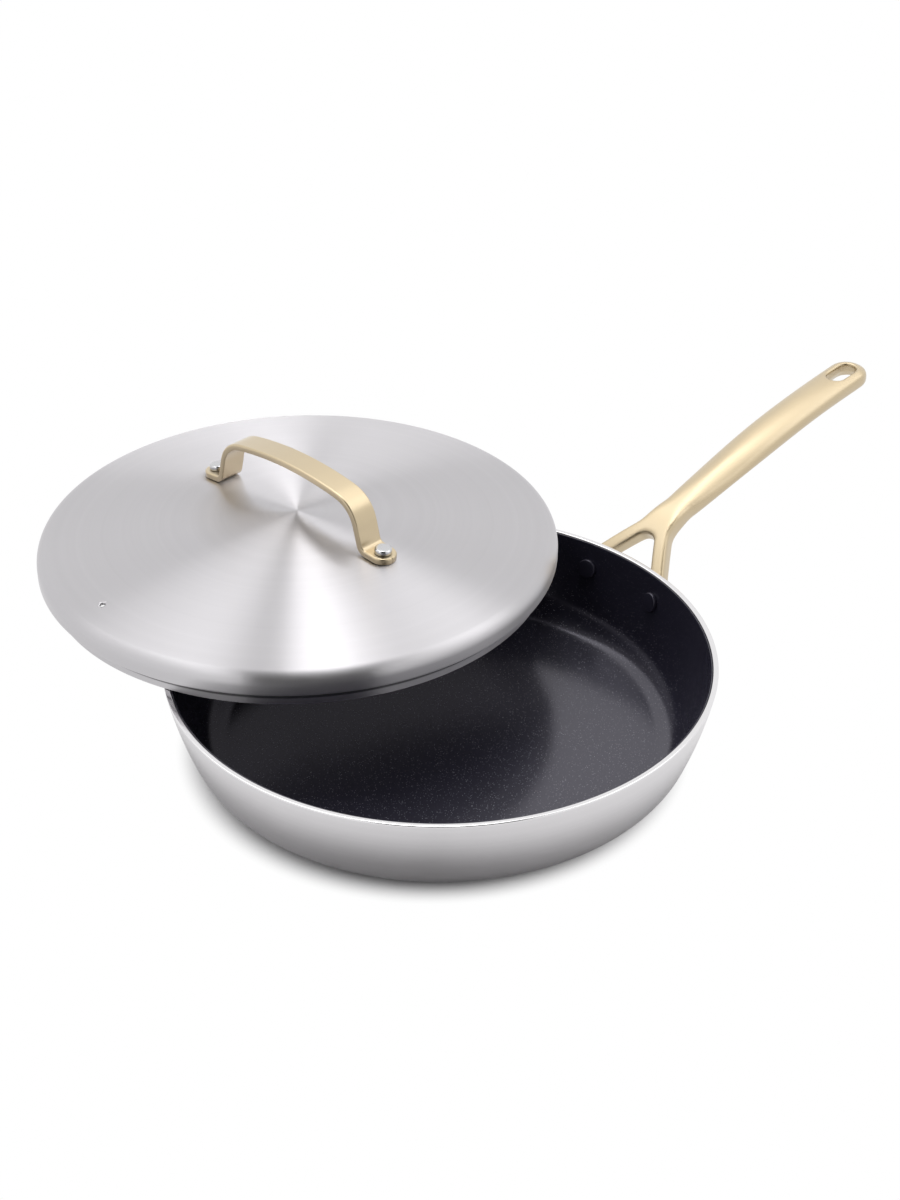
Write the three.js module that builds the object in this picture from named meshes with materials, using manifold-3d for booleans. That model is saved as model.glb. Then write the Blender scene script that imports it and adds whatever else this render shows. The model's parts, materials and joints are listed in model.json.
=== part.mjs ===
// Frying pan with its lid drawn back on the rim. Millimetres, +Z up.
// The origin is the middle of the underside, +X runs out along the pan handle,
// and the lid is drawn back along +Y.
import * as THREE from 'three';
import { mergeVertices } from 'three/addons/utils/BufferGeometryUtils.js';
import Module from 'manifold-3d';

const wasm = await Module();
wasm.setup();

// Fits and fineness
const SEAT_GAP = 0.3; // between a piece and what it rests on
const HOLE_CLEARANCE = 0.3; // round a rivet's shank
const WELD_DISTANCE = 1e-4; // corners closer than this are one corner
const TURN_STEPS = 56; // sides of a large round piece
const RIVET_STEPS = 16; // sides of a rivet
const SECTION_STEPS = 16; // points round a handle section

// Pan body: outer surface of a long wall arc and a tighter turn into the base
const RIM_RADIUS = 153;
const PAN_HEIGHT = 56;
const PAN_WALL = 3;
const WALL_FLARE = 10; // degrees from upright at the rim
const WALL_ARC = 230;
const BASE_TURN = 23;

// Coating inside the pan
const COATING = 0.4;
const COATING_DROP = 0.8; // bare metal left below the rim

// Steel plate let into the underside, which the pan stands on
const PLATE_MARGIN = 22; // flat left round it
const PLATE_THICKNESS = 1;
const PLATE_PROUD = 0.5;

// Pan handle: stations along its middle, each a run and a lift from the one before.
// The first is counted from the rim, and the last is the middle of the round end.
const FORK = { run: 27.5, lift: 12.5, width: 14.2, thick: 11 };
const NECK = { run: 15.5, lift: 5.5, width: 18.6, thick: 11.5 };
const GRIP = { run: 67, lift: 19.5, width: 24.8, thick: 12.8 };
const SHOULDER = { run: 50, lift: 11.5, width: 25, thick: 12.8 };
const TIP = { run: 36, lift: 6, width: 24.8, thick: 12 };
const GRIP_RINGS = 16;
const SECTION_POWER = 2.8; // 2 is an ellipse, more is squarer
const TIP_ANGLES = [25, 50, 70, 85]; // degrees round the end
const TIP_THINNING = 0.25; // share of the thickness lost at the very end
const HANG_WIDTH = 12;
const HANG_LENGTH = 22;

// Handle legs and their round feet on the outside of the wall
const LEG_WIDTH = 9.5;
const LEG_THICK = 9;
const FOOT_RADIUS = 9.5;
const FOOT_THICK = 5.5;
const FOOT_LIFT = 5; // the leg meets its foot this far above the rivet
const RIVET_SPACING = 53;
const RIVET_DROP = 17; // rivet centres below the rim

// Pan rivets: coated head inside, formed head outside
const RIVET_SHANK = 3; // radius
const RIVET_HEAD = 6; // radius
const RIVET_HEAD_RISE = 2;
const RIVET_TAIL = 4.8; // radius
const RIVET_TAIL_RISE = 1.8;

// Lid shell
const LID_MARGIN = 0.3; // the band stays this far inside the rim's edge
const LID_SHEET = 1.2;
const SKIRT_HEIGHT = 9;
const SKIRT_CLEARANCE = 0.5; // in the coated pan when the lid is on
const BAND_HEIGHT = 13.5;
const BAND_ROUND = 8;
const DOME_RISE = 12.5;
const VENT_RADIUS = 1.6; // steam hole
const VENT_INSET = 18.7; // from the lid's edge to the hole's middle
const VENT_TURN = 6; // degrees from square to the strap

// Where the lid lies, drawn back and turned a little
const LID_BACK = 128.2;
const LID_ASIDE = 3;
const LID_TURN = 3.8; // degrees

// Strap handle of the lid, along the lid's own Y
const STRAP_WIDTH = 16;
const STRAP_THICK = 3.8;
const STRAP_CROWN = 6.5; // the top sinks this much from the middle to the bends
const FINGER_GAP = 31; // from the dome's top to the strap
const STRAP_BEND_REACH = 54; // corner between the top and a leg
const STRAP_BEND_ROUND = 13;
const STRAP_LEG_REACH = 60.5; // corner between a leg and its foot
const STRAP_LEG_ROUND = 4;
const STRAP_FOOT_REACH = 10.5; // from that corner to the rivet
const ARCH_STEPS = 8;
const CURVE_STEPS = 4;

// Strap rivets: chamfered button outside, flat head inside
const BUTTON_RADIUS = 5;
const BUTTON_RISE = 3;
const BUTTON_CHAMFER = 0.8;
const STRAP_SHANK = 2.5; // radius
const INNER_HEAD = 6; // radius
const INNER_HEAD_RISE = 1.2;

// Finishes
const SATIN_STEEL = { color: 0xc9c6c8, roughness: 0.32, metalness: 1 };
const PLATE_STEEL = { color: 0xb4b2b3, roughness: 0.4, metalness: 1 };
const RIVET_STEEL = { color: 0xd6d5d6, roughness: 0.25, metalness: 1 };
const CHAMPAGNE = { color: 0xd0b988, roughness: 0.36, metalness: 1 };
const DARK_CERAMIC = { color: 0x17171b, roughness: 0.35, metalness: 0 };

/** One closed, outward-facing skin with only positions: corners welded, flat slivers dropped. */
function weld(geometry) {
  const bare = new THREE.BufferGeometry();
  bare.setAttribute('position', geometry.getAttribute('position'));
  bare.setIndex(geometry.index);
  const merged = mergeVertices(bare, WELD_DISTANCE);
  const place = merged.getAttribute('position');
  const corner = [new THREE.Vector3(), new THREE.Vector3(), new THREE.Vector3()];
  const faces = [];
  let volume = 0;
  for (let i = 0; i < merged.index.count; i += 3) {
    const face = [0, 1, 2].map((k) => merged.index.getX(i + k));
    if (new Set(face).size === 3) {
      face.forEach((index, k) => corner[k].fromBufferAttribute(place, index));
      volume += corner[0].dot(corner[1].cross(corner[2]));
      faces.push(face);
    }
  }
  merged.setIndex(faces.flatMap(([a, b, c]) => (volume < 0 ? [a, c, b] : [a, b, c])));
  return merged;
}

/** A welded skin as a solid that can be joined and cut. */
function solid(geometry) {
  const skin = weld(geometry);
  const vertProperties = new Float32Array(skin.getAttribute('position').array);
  const triVerts = new Uint32Array(skin.index.array);
  return new wasm.Manifold(new wasm.Mesh({ numProp: 3, vertProperties, triVerts }));
}

/** A solid's skin. */
function skinOf(body) {
  const { vertProperties, triVerts } = body.getMesh();
  const geometry = new THREE.BufferGeometry();
  geometry.setAttribute('position', new THREE.BufferAttribute(vertProperties, 3));
  geometry.setIndex(new THREE.BufferAttribute(triVerts, 1));
  return geometry;
}

/** A named piece. */
function piece(name, geometry, finish) {
  const skin = weld(geometry);
  skin.computeVertexNormals();
  const mesh = new THREE.Mesh(skin, new THREE.MeshStandardMaterial(finish));
  mesh.name = name;
  return mesh;
}

/** A body turned about Z from [radius, height] points that start and end on the axis. */
function turned(points, sides = TURN_STEPS) {
  const outline = points.map(([radius, height]) => new THREE.Vector2(radius, height));
  return new THREE.LatheGeometry(outline, sides).rotateX(Math.PI / 2);
}

/** A plain round bar along Z. */
function rod(radius, from, to, sides = RIVET_STEPS) {
  return turned([[0, from], [radius, from], [radius, to], [0, to]], sides);
}

/** A closed skin over rings of equally many points, capped flat at both ends. */
function lofted(rings) {
  const count = rings[0].length;
  const last = (rings.length - 1) * count;
  const faces = [];
  for (let start = 0; start < last; start += count) {
    for (let i = 0; i < count; i += 1) {
      const a = start + i;
      const b = start + ((i + 1) % count);
      faces.push(a, b, b + count, a, b + count, a + count);
    }
  }
  for (let i = 1; i < count - 1; i += 1) {
    faces.push(0, i + 1, i, last, last + i, last + i + 1);
  }
  const geometry = new THREE.BufferGeometry();
  const places = rings.flat().flatMap((point) => point.toArray());
  geometry.setAttribute('position', new THREE.Float32BufferAttribute(places, 3));
  geometry.setIndex(faces);
  return geometry;
}

/** A straight-sided body from a flat shape in X and Y, its height centred on zero. */
function slab(shape, height) {
  const settings = { depth: height, bevelEnabled: false, curveSegments: SECTION_STEPS / 2 };
  return new THREE.ExtrudeGeometry(shape, settings).translate(0, 0, -height / 2);
}

/** A round-ended bar along X, from one end's centre to the other's. */
function roundEnded(from, to, radius) {
  const shape = new THREE.Shape();
  shape.absarc(to, 0, radius, -Math.PI / 2, Math.PI / 2);
  shape.absarc(from, 0, radius, Math.PI / 2, Math.PI * 1.5);
  shape.closePath();
  return shape;
}

/** Evenly spaced values from one to another, both included. */
function steps(from, to, count) {
  return Array.from({ length: count + 1 }, (_, k) => from + ((to - from) * k) / count);
}

const ACROSS = new THREE.Vector3(0, 1, 0);
const UPRIGHT = new THREE.Vector3(0, 0, 1);

// The pan wall, worked out as angles of its outward normal below level
const flare = THREE.MathUtils.degToRad(WALL_FLARE);
const arcCentre = new THREE.Vector2(
  RIM_RADIUS - WALL_ARC * Math.cos(flare),
  PAN_HEIGHT + WALL_ARC * Math.sin(flare),
);
const turnAngle = Math.asin((arcCentre.y - PLATE_PROUD - BASE_TURN) / (WALL_ARC - BASE_TURN));
const turnCentre = arcCentre.clone().add(
  new THREE.Vector2(Math.cos(turnAngle), -Math.sin(turnAngle)).multiplyScalar(WALL_ARC - BASE_TURN),
);

const plateRadius = turnCentre.x - PLATE_MARGIN;

/** A point of the wall's section, a distance inside its outer surface. */
function wallPoint(angle, inset) {
  const centre = angle < turnAngle ? arcCentre : turnCentre;
  const radius = (angle < turnAngle ? WALL_ARC : BASE_TURN) - inset;
  return [centre.x + radius * Math.cos(angle), centre.y - radius * Math.sin(angle)];
}

/** The wall's angle at a height above the turn. */
function wallAngle(height, inset) {
  return Math.asin((arcCentre.y - height) / (WALL_ARC - inset));
}

/** The wall's section from the top down to the floor, a distance inside its outer surface. */
function wallSection(inset, top) {
  const angles = [
    ...steps(wallAngle(top, inset), turnAngle, CURVE_STEPS).slice(0, -1),
    ...steps(turnAngle, Math.PI / 2, CURVE_STEPS + 1),
  ];
  return angles.map((angle) => wallPoint(angle, inset));
}

// Where a pan rivet goes through the wall; side is 1 or -1
const rivetAngle = wallAngle(PAN_HEIGHT - RIVET_DROP, 0);
const [rivetRadius, rivetHeight] = wallPoint(rivetAngle, 0);
const rivetTurn = Math.asin(RIVET_SPACING / 2 / rivetRadius);
// How far a flat head stands off the hollow wall, which is round and made of flat sides
const headHollow = rivetRadius - Math.sqrt(rivetRadius ** 2 - RIVET_HEAD ** 2)
  + rivetRadius * (1 - Math.cos(Math.PI / TURN_STEPS));

/** The place of a pan rivet on the outer wall, its own Z pointing out of the pan. */
function rivetPlace(side) {
  const round = new THREE.Quaternion().setFromAxisAngle(UPRIGHT, side * rivetTurn);
  const lean = new THREE.Quaternion().setFromAxisAngle(ACROSS, Math.PI / 2 + rivetAngle);
  const centre = new THREE.Vector3(rivetRadius, 0, rivetHeight).applyQuaternion(round);
  return new THREE.Matrix4().compose(centre, round.multiply(lean), new THREE.Vector3(1, 1, 1));
}

/** A pan rivet's hole through the wall, the coating and the handle's foot. */
function rivetHole(side) {
  const radius = RIVET_SHANK + HOLE_CLEARANCE;
  const depth = PAN_WALL + COATING + FOOT_THICK + RIVET_HEAD;
  return solid(rod(radius, -depth, depth).applyMatrix4(rivetPlace(side)));
}

function panBody() {
  const recess = PLATE_THICKNESS + SEAT_GAP;
  const edge = plateRadius + SEAT_GAP;
  const outline = [
    [0, recess],
    [edge, recess],
    [edge, PLATE_PROUD],
    ...wallSection(0, PAN_HEIGHT).reverse(),
    ...wallSection(PAN_WALL, PAN_HEIGHT),
    [0, PLATE_PROUD + PAN_WALL],
  ];
  const shell = solid(turned(outline)).subtract(rivetHole(1)).subtract(rivetHole(-1));
  return piece('pan_body', skinOf(shell), SATIN_STEEL);
}

function interiorCoating() {
  const under = PAN_WALL + SEAT_GAP;
  const top = PAN_HEIGHT - COATING_DROP;
  const outline = [
    [0, PLATE_PROUD + under],
    ...wallSection(under, top).reverse(),
    ...wallSection(under + COATING, top),
    [0, PLATE_PROUD + under + COATING],
  ];
  const shell = solid(turned(outline)).subtract(rivetHole(1)).subtract(rivetHole(-1));
  return piece('interior_coating', skinOf(shell), DARK_CERAMIC);
}

function basePlate() {
  return piece('base_plate', rod(plateRadius, 0, PLATE_THICKNESS, TURN_STEPS), PLATE_STEEL);
}

/** A rivet set through the wall: coated head inside, formed head on the handle's foot. */
function panRivet(name, side) {
  const inside = -(PAN_WALL + SEAT_GAP + COATING + SEAT_GAP + headHollow);
  const outside = SEAT_GAP + FOOT_THICK + SEAT_GAP;
  const outline = [
    [0, inside - RIVET_HEAD_RISE],
    [RIVET_HEAD - RIVET_HEAD_RISE / 2, inside - RIVET_HEAD_RISE],
    [RIVET_HEAD, inside - RIVET_HEAD_RISE / 2],
    [RIVET_HEAD, inside],
    [RIVET_SHANK, inside],
    [RIVET_SHANK, outside],
    [RIVET_TAIL, outside],
    [RIVET_TAIL, outside + RIVET_TAIL_RISE / 2],
    [RIVET_TAIL - RIVET_TAIL_RISE / 2, outside + RIVET_TAIL_RISE],
    [0, outside + RIVET_TAIL_RISE],
  ];
  const mesh = piece(name, turned(outline, RIVET_STEPS), RIVET_STEEL);
  mesh.applyMatrix4(rivetPlace(side));
  return mesh;
}

/** A rounded-square section ring of the pan handle. */
function sectionRing(centre, across, up, width, thick) {
  const bulge = (value) => Math.sign(value) * Math.abs(value) ** (2 / SECTION_POWER);
  return steps(0, Math.PI * 2, SECTION_STEPS).slice(0, -1).map((angle) => centre.clone()
    .addScaledVector(across, (bulge(Math.cos(angle)) * width) / 2)
    .addScaledVector(up, (bulge(Math.sin(angle)) * thick) / 2));
}

// The handle's middle line and its section sizes, as curves over the same stations
const stations = [FORK, NECK, GRIP, SHOULDER, TIP];
const gripPlaces = [];
stations.reduce((from, station) => {
  const place = from.clone().add(new THREE.Vector3(station.run, 0, station.lift));
  gripPlaces.push(place);
  return place;
}, new THREE.Vector3(RIM_RADIUS, 0, PAN_HEIGHT));
const gripLine = new THREE.CatmullRomCurve3(gripPlaces);
const gripSizes = new THREE.CatmullRomCurve3(
  stations.map(({ width, thick }) => new THREE.Vector3(width, thick, 0)),
  false,
  'catmullrom',
);
const forkCentre = gripPlaces[0];
const tipCentre = gripPlaces[gripPlaces.length - 1];
const tipAlong = gripLine.getTangent(1);
const tipUp = tipAlong.clone().cross(ACROSS);

function gripSolid() {
  const rings = steps(0, 1, GRIP_RINGS).map((share) => {
    const up = gripLine.getTangent(share).cross(ACROSS);
    const size = gripSizes.getPoint(share);
    return sectionRing(gripLine.getPoint(share), ACROSS, up, size.x, size.y);
  });
  TIP_ANGLES.map(THREE.MathUtils.degToRad).forEach((angle) => {
    const centre = tipCentre.clone().addScaledVector(tipAlong, (Math.sin(angle) * TIP.width) / 2);
    const thick = TIP.thick * (1 - TIP_THINNING * (1 - Math.cos(angle)));
    rings.push(sectionRing(centre, ACROSS, tipUp, TIP.width * Math.cos(angle), thick));
  });
  return solid(lofted(rings));
}

/** The hole that the pan hangs by. */
function hangHole() {
  const slot = roundEnded(HANG_WIDTH - HANG_LENGTH, 0, HANG_WIDTH / 2);
  const bar = slab(slot, TIP.thick + SHOULDER.thick);
  const basis = new THREE.Matrix4().makeBasis(tipAlong, ACROSS, tipUp).setPosition(tipCentre);
  return solid(bar.applyMatrix4(basis));
}

/** One leg of the fork with its foot, before the wall is cut out of it. */
function legSolid(side) {
  const place = rivetPlace(side);
  const foot = rod(FOOT_RADIUS, -PAN_WALL, SEAT_GAP + FOOT_THICK).applyMatrix4(place);
  const low = new THREE.Vector3(-FOOT_LIFT, 0, 0).applyMatrix4(place);
  const along = forkCentre.clone().sub(low).normalize();
  const across = UPRIGHT.clone().cross(along).normalize();
  const up = along.clone().cross(across);
  const high = forkCentre.clone().addScaledVector(along, LEG_WIDTH / 2);
  const rings = [
    sectionRing(low, across, up, LEG_WIDTH, LEG_THICK),
    sectionRing(forkCentre, across, up, LEG_WIDTH, FORK.thick),
    sectionRing(high, across, up, LEG_WIDTH / 2, FORK.thick / 2),
  ];
  return solid(lofted(rings)).add(solid(foot));
}

/** Room cut into a leg for the rivet's formed head, from the foot's face outward. */
function rivetSeat(side) {
  const floor = SEAT_GAP + FOOT_THICK;
  const bar = rod(RIVET_TAIL + HOLE_CLEARANCE, floor, floor + LEG_WIDTH);
  return solid(bar.applyMatrix4(rivetPlace(side)));
}

function panHandle() {
  const wall = wallSection(-SEAT_GAP, PAN_HEIGHT).reverse();
  const cleared = solid(turned([[0, PLATE_PROUD - SEAT_GAP], ...wall, [0, PAN_HEIGHT]]));
  const legs = legSolid(1).add(legSolid(-1)).subtract(cleared);
  const handle = gripSolid().add(legs)
    .subtract(hangHole())
    .subtract(rivetHole(1))
    .subtract(rivetHole(-1))
    .subtract(rivetSeat(1))
    .subtract(rivetSeat(-1));
  return piece('pan_handle', skinOf(handle), CHAMPAGNE);
}

// The lid's section, measured up from the bottom of its skirt
const lidRadius = RIM_RADIUS - LID_MARGIN;
const skirtRadius = wallPoint(
  wallAngle(PAN_HEIGHT - SKIRT_HEIGHT, PAN_WALL + SEAT_GAP + COATING),
  PAN_WALL + SEAT_GAP + COATING,
)[0] - SKIRT_CLEARANCE;
const bandTop = SKIRT_HEIGHT + BAND_HEIGHT;
const domeTop = bandTop + DOME_RISE;
const roundCentre = new THREE.Vector2(lidRadius - BAND_ROUND, bandTop - BAND_ROUND);
const roundDepth = domeTop - roundCentre.y;
const domeRadius = (roundCentre.x ** 2 + roundDepth ** 2 - BAND_ROUND ** 2) / (2 * DOME_RISE);
const domeAngle = Math.atan2(roundCentre.x, domeRadius - roundDepth);

/** The dome and the rounded band from the middle outward, a distance inside the outer surface. */
function domeSection(inset) {
  const dome = steps(0, domeAngle, CURVE_STEPS).slice(0, -1).map((angle) => [
    (domeRadius - inset) * Math.sin(angle),
    domeTop - domeRadius + (domeRadius - inset) * Math.cos(angle),
  ]);
  const band = steps(domeAngle, Math.PI / 2, CURVE_STEPS).map((angle) => [
    roundCentre.x + (BAND_ROUND - inset) * Math.sin(angle),
    roundCentre.y + (BAND_ROUND - inset) * Math.cos(angle),
  ]);
  return [...dome, ...band];
}

// Where a strap rivet goes through the dome, and how far the dome leans there
const strapRivetReach = STRAP_LEG_REACH + STRAP_FOOT_REACH;
const strapLean = Math.asin(strapRivetReach / domeRadius);
const strapRivetHeight = domeTop - domeRadius * (1 - Math.cos(strapLean));
const strapTop = domeTop + FINGER_GAP + STRAP_THICK;

/** The place of a strap rivet on the dome, its own Z square to the dome. */
function strapRivetPlace(side) {
  const lean = new THREE.Matrix4().makeRotationX(-side * strapLean);
  return lean.setPosition(0, side * strapRivetReach, strapRivetHeight);
}

/** A strap rivet's hole through the dome and the strap's foot. */
function strapRivetHole(side) {
  const radius = STRAP_SHANK + HOLE_CLEARANCE;
  const depth = LID_SHEET + STRAP_THICK * 2;
  return solid(rod(radius, -depth, depth).applyMatrix4(strapRivetPlace(side)));
}

function lidShell() {
  const inner = skirtRadius - LID_SHEET;
  const outline = [
    ...domeSection(0),
    [lidRadius, SKIRT_HEIGHT],
    [skirtRadius, SKIRT_HEIGHT],
    [skirtRadius, 0],
    [inner, 0],
    [inner, SKIRT_HEIGHT + LID_SHEET],
    [lidRadius - LID_SHEET, SKIRT_HEIGHT + LID_SHEET],
    ...domeSection(LID_SHEET).reverse(),
  ];
  const vent = rod(VENT_RADIUS, SKIRT_HEIGHT, domeTop)
    .translate(VENT_INSET - lidRadius, 0, 0)
    .rotateZ(-THREE.MathUtils.degToRad(VENT_TURN));
  const shell = solid(turned(outline))
    .subtract(solid(vent))
    .subtract(strapRivetHole(1))
    .subtract(strapRivetHole(-1));
  return piece('lid_shell', skinOf(shell), SATIN_STEEL);
}

/** A smooth bend at a corner, starting and ending a distance along both sides. */
function bend(before, corner, after, distance) {
  const start = corner.clone().addScaledVector(before.clone().sub(corner).normalize(), distance);
  const end = corner.clone().addScaledVector(after.clone().sub(corner).normalize(), distance);
  return new THREE.QuadraticBezierCurve(start, corner, end).getPoints(CURVE_STEPS);
}

/** Half of the strap's middle line in Y and Z, from the top's middle to the foot's end. */
function strapLine() {
  const archHeight = (reach) => strapTop - STRAP_THICK / 2 - STRAP_CROWN * (reach / STRAP_BEND_REACH) ** 2;
  const footHeight = strapRivetHeight + (SEAT_GAP + STRAP_THICK / 2) / Math.cos(strapLean);
  const onFoot = (reach) => new THREE.Vector2(
    reach,
    footHeight - (reach - strapRivetReach) * Math.tan(strapLean),
  );
  const archEnd = STRAP_BEND_REACH - STRAP_BEND_ROUND;
  const arch = steps(0, archEnd, ARCH_STEPS)
    .map((reach) => new THREE.Vector2(reach, archHeight(reach)));
  const bendCorner = new THREE.Vector2(STRAP_BEND_REACH, archHeight(STRAP_BEND_REACH));
  const legCorner = onFoot(STRAP_LEG_REACH);
  const footEnd = onFoot(strapRivetReach + STRAP_WIDTH / 2 + STRAP_THICK);
  return [
    ...arch,
    ...bend(arch[ARCH_STEPS], bendCorner, legCorner, STRAP_BEND_ROUND).slice(1),
    ...bend(bendCorner, legCorner, footEnd, STRAP_LEG_ROUND),
    footEnd,
  ];
}

function lidHandle() {
  const half = strapLine();
  const line = [...half.slice(1).reverse().map(({ x, y }) => new THREE.Vector2(-x, y)), ...half];
  const side = (offset) => line.map((point, k) => {
    const before = line[Math.max(k - 1, 0)];
    const after = line[Math.min(k + 1, line.length - 1)];
    const along = after.clone().sub(before).normalize();
    return new THREE.Vector2(point.x - along.y * offset, point.y + along.x * offset);
  });
  const outline = new THREE.Shape([...side(STRAP_THICK / 2), ...side(-STRAP_THICK / 2).reverse()]);
  // The outline lies in X and Y, so it is stood up with its length along Y.
  const stood = new THREE.Matrix4().makeBasis(
    new THREE.Vector3(0, 1, 0),
    new THREE.Vector3(0, 0, 1),
    new THREE.Vector3(1, 0, 0),
  );
  const strip = solid(slab(outline, STRAP_WIDTH).applyMatrix4(stood));
  const plan = roundEnded(-strapRivetReach, strapRivetReach, STRAP_WIDTH / 2);
  const ends = solid(slab(plan, strapTop * 2 + STRAP_THICK).rotateZ(Math.PI / 2));
  const strap = strip.intersect(ends).subtract(strapRivetHole(1)).subtract(strapRivetHole(-1));
  return piece('lid_handle', skinOf(strap), CHAMPAGNE);
}

/** A strap rivet: chamfered button on the foot, flat head under the dome. */
function strapRivet(name, side) {
  const inside = -(LID_SHEET + SEAT_GAP);
  const outside = SEAT_GAP + STRAP_THICK + SEAT_GAP;
  const outline = [
    [0, inside - INNER_HEAD_RISE],
    [INNER_HEAD, inside - INNER_HEAD_RISE],
    [INNER_HEAD, inside],
    [STRAP_SHANK, inside],
    [STRAP_SHANK, outside],
    [BUTTON_RADIUS, outside],
    [BUTTON_RADIUS, outside + BUTTON_RISE - BUTTON_CHAMFER],
    [BUTTON_RADIUS - BUTTON_CHAMFER, outside + BUTTON_RISE],
    [0, outside + BUTTON_RISE],
  ];
  const mesh = piece(name, turned(outline, RIVET_STEPS), RIVET_STEEL);
  mesh.applyMatrix4(strapRivetPlace(side));
  return mesh;
}

const pan = new THREE.Group();
pan.add(
  panBody(),
  interiorCoating(),
  basePlate(),
  panHandle(),
  panRivet('handle_rivet_left', 1),
  panRivet('handle_rivet_right', -1),
);

const lid = new THREE.Group();
lid.position.set(LID_ASIDE, LID_BACK, PAN_HEIGHT + SEAT_GAP);
lid.rotation.z = THREE.MathUtils.degToRad(LID_TURN);
lid.add(
  lidShell(),
  lidHandle(),
  strapRivet('lid_rivet_back', 1),
  strapRivet('lid_rivet_front', -1),
);

const fryingPan = new THREE.Group();
fryingPan.add(pan, lid);

export default fryingPan;
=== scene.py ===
"""A frying pan with its lid drawn back on the rim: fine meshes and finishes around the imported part."""

import json
import math

import bmesh
import bpy
import numpy as np
from mathutils import Matrix, Vector


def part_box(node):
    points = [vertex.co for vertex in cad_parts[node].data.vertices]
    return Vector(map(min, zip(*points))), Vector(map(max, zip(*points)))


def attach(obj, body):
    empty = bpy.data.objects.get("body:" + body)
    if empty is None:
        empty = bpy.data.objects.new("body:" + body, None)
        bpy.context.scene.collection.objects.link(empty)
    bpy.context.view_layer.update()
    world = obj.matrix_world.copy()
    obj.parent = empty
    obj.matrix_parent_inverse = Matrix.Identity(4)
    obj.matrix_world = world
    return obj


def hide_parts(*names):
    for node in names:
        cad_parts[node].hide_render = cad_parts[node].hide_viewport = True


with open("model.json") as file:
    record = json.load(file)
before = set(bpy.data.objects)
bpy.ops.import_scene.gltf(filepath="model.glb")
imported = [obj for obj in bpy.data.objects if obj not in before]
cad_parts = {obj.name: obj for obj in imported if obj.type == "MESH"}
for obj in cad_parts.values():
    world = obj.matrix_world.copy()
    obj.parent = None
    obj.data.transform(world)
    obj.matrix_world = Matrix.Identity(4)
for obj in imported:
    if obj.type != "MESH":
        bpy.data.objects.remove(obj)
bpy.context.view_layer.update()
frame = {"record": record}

bl_info = {
    "name": "Frying Pan with Lid",
    "version": (1, 0, 0),
    "blender": (4, 5, 0),
    "location": "View3D > Sidebar > Frying Pan",
    "description": "Builds the fine meshes, finishes and stage of a frying pan with its lid",
    "category": "Object",
}

FINE_SIDES = 288  # sides of a large turned piece
SMALL_SIDES = 72  # sides of a rivet
DRILL_SIDES = 48  # sides of a drilled hole
WALL_STEPS = 18  # steps along each of the wall's two arcs
DOME_STEPS = 46  # steps from the lid's middle to its band
BAND_STEPS = 16  # steps round the band's top edge
EVENING_ROUNDS = 6  # times the points of a cast skin are evened out
DRAWING_ROUNDS = 3  # moves that draw a point onto that skin
SLOPE_SHARE = 0.02  # part of a cell over which the slope is read
LEAST_STEEP = 0.05  # the slope's square is taken as at least this
SOFT_ANGLE = math.radians(38)  # edges sharper than this stay sharp
UP = Vector((0, 0, 1))

# The imported record names each node's body and the slot of its finish; only the bodies are read here
BODY_OF = {
    node: body
    for body, nodes in frame["record"]["behaviour"]["bodies"].items()
    for node in nodes
}


def length(name, description, default):
    """A length in metres."""
    return bpy.props.FloatProperty(
        name=name, description=description, default=default, precision=5, unit="LENGTH"
    )


def turn(name, description, degrees):
    """An angle, written in degrees."""
    return bpy.props.FloatProperty(
        name=name, description=description, default=math.radians(degrees), subtype="ANGLE"
    )


def share(name, description, default):
    """A part of one."""
    return bpy.props.FloatProperty(
        name=name, description=description, default=default, min=0, max=1, subtype="FACTOR"
    )


def colour(name, description, default):
    """A linear colour."""
    return bpy.props.FloatVectorProperty(
        name=name, description=description, default=default, size=3, min=0, max=1, subtype="COLOR"
    )


class PanSizes(bpy.types.PropertyGroup):
    """Sizes of the pan's wall, lining and base."""

    gap: length("Seat gap", "Between a piece and what it rests on", 0.0003)
    rim_radius: length("Rim radius", "Outside of the rim", 0.153)
    height: length("Height", "From the base plate to the rim", 0.056)
    wall: length("Wall", "Thickness of the metal", 0.003)
    flare: turn("Flare", "Lean of the wall at the rim", 10)
    wall_arc: length("Wall arc", "Radius of the wall's long curve", 0.23)
    base_turn: length("Base turn", "Radius of the turn into the base", 0.023)
    rim_round: length("Rim rounding", "Rounding of the bright rim's edges", 0.0008)
    coating: length("Lining", "Thickness of the dark lining", 0.0004)
    coating_drop: length("Lining drop", "Bare metal left below the rim", 0.0008)
    plate_margin: length("Plate margin", "Flat left round the base plate", 0.022)
    plate_thickness: length("Plate thickness", "Steel plate let into the underside", 0.001)
    plate_proud: length("Plate proud", "How far the plate stands out", 0.0005)


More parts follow.
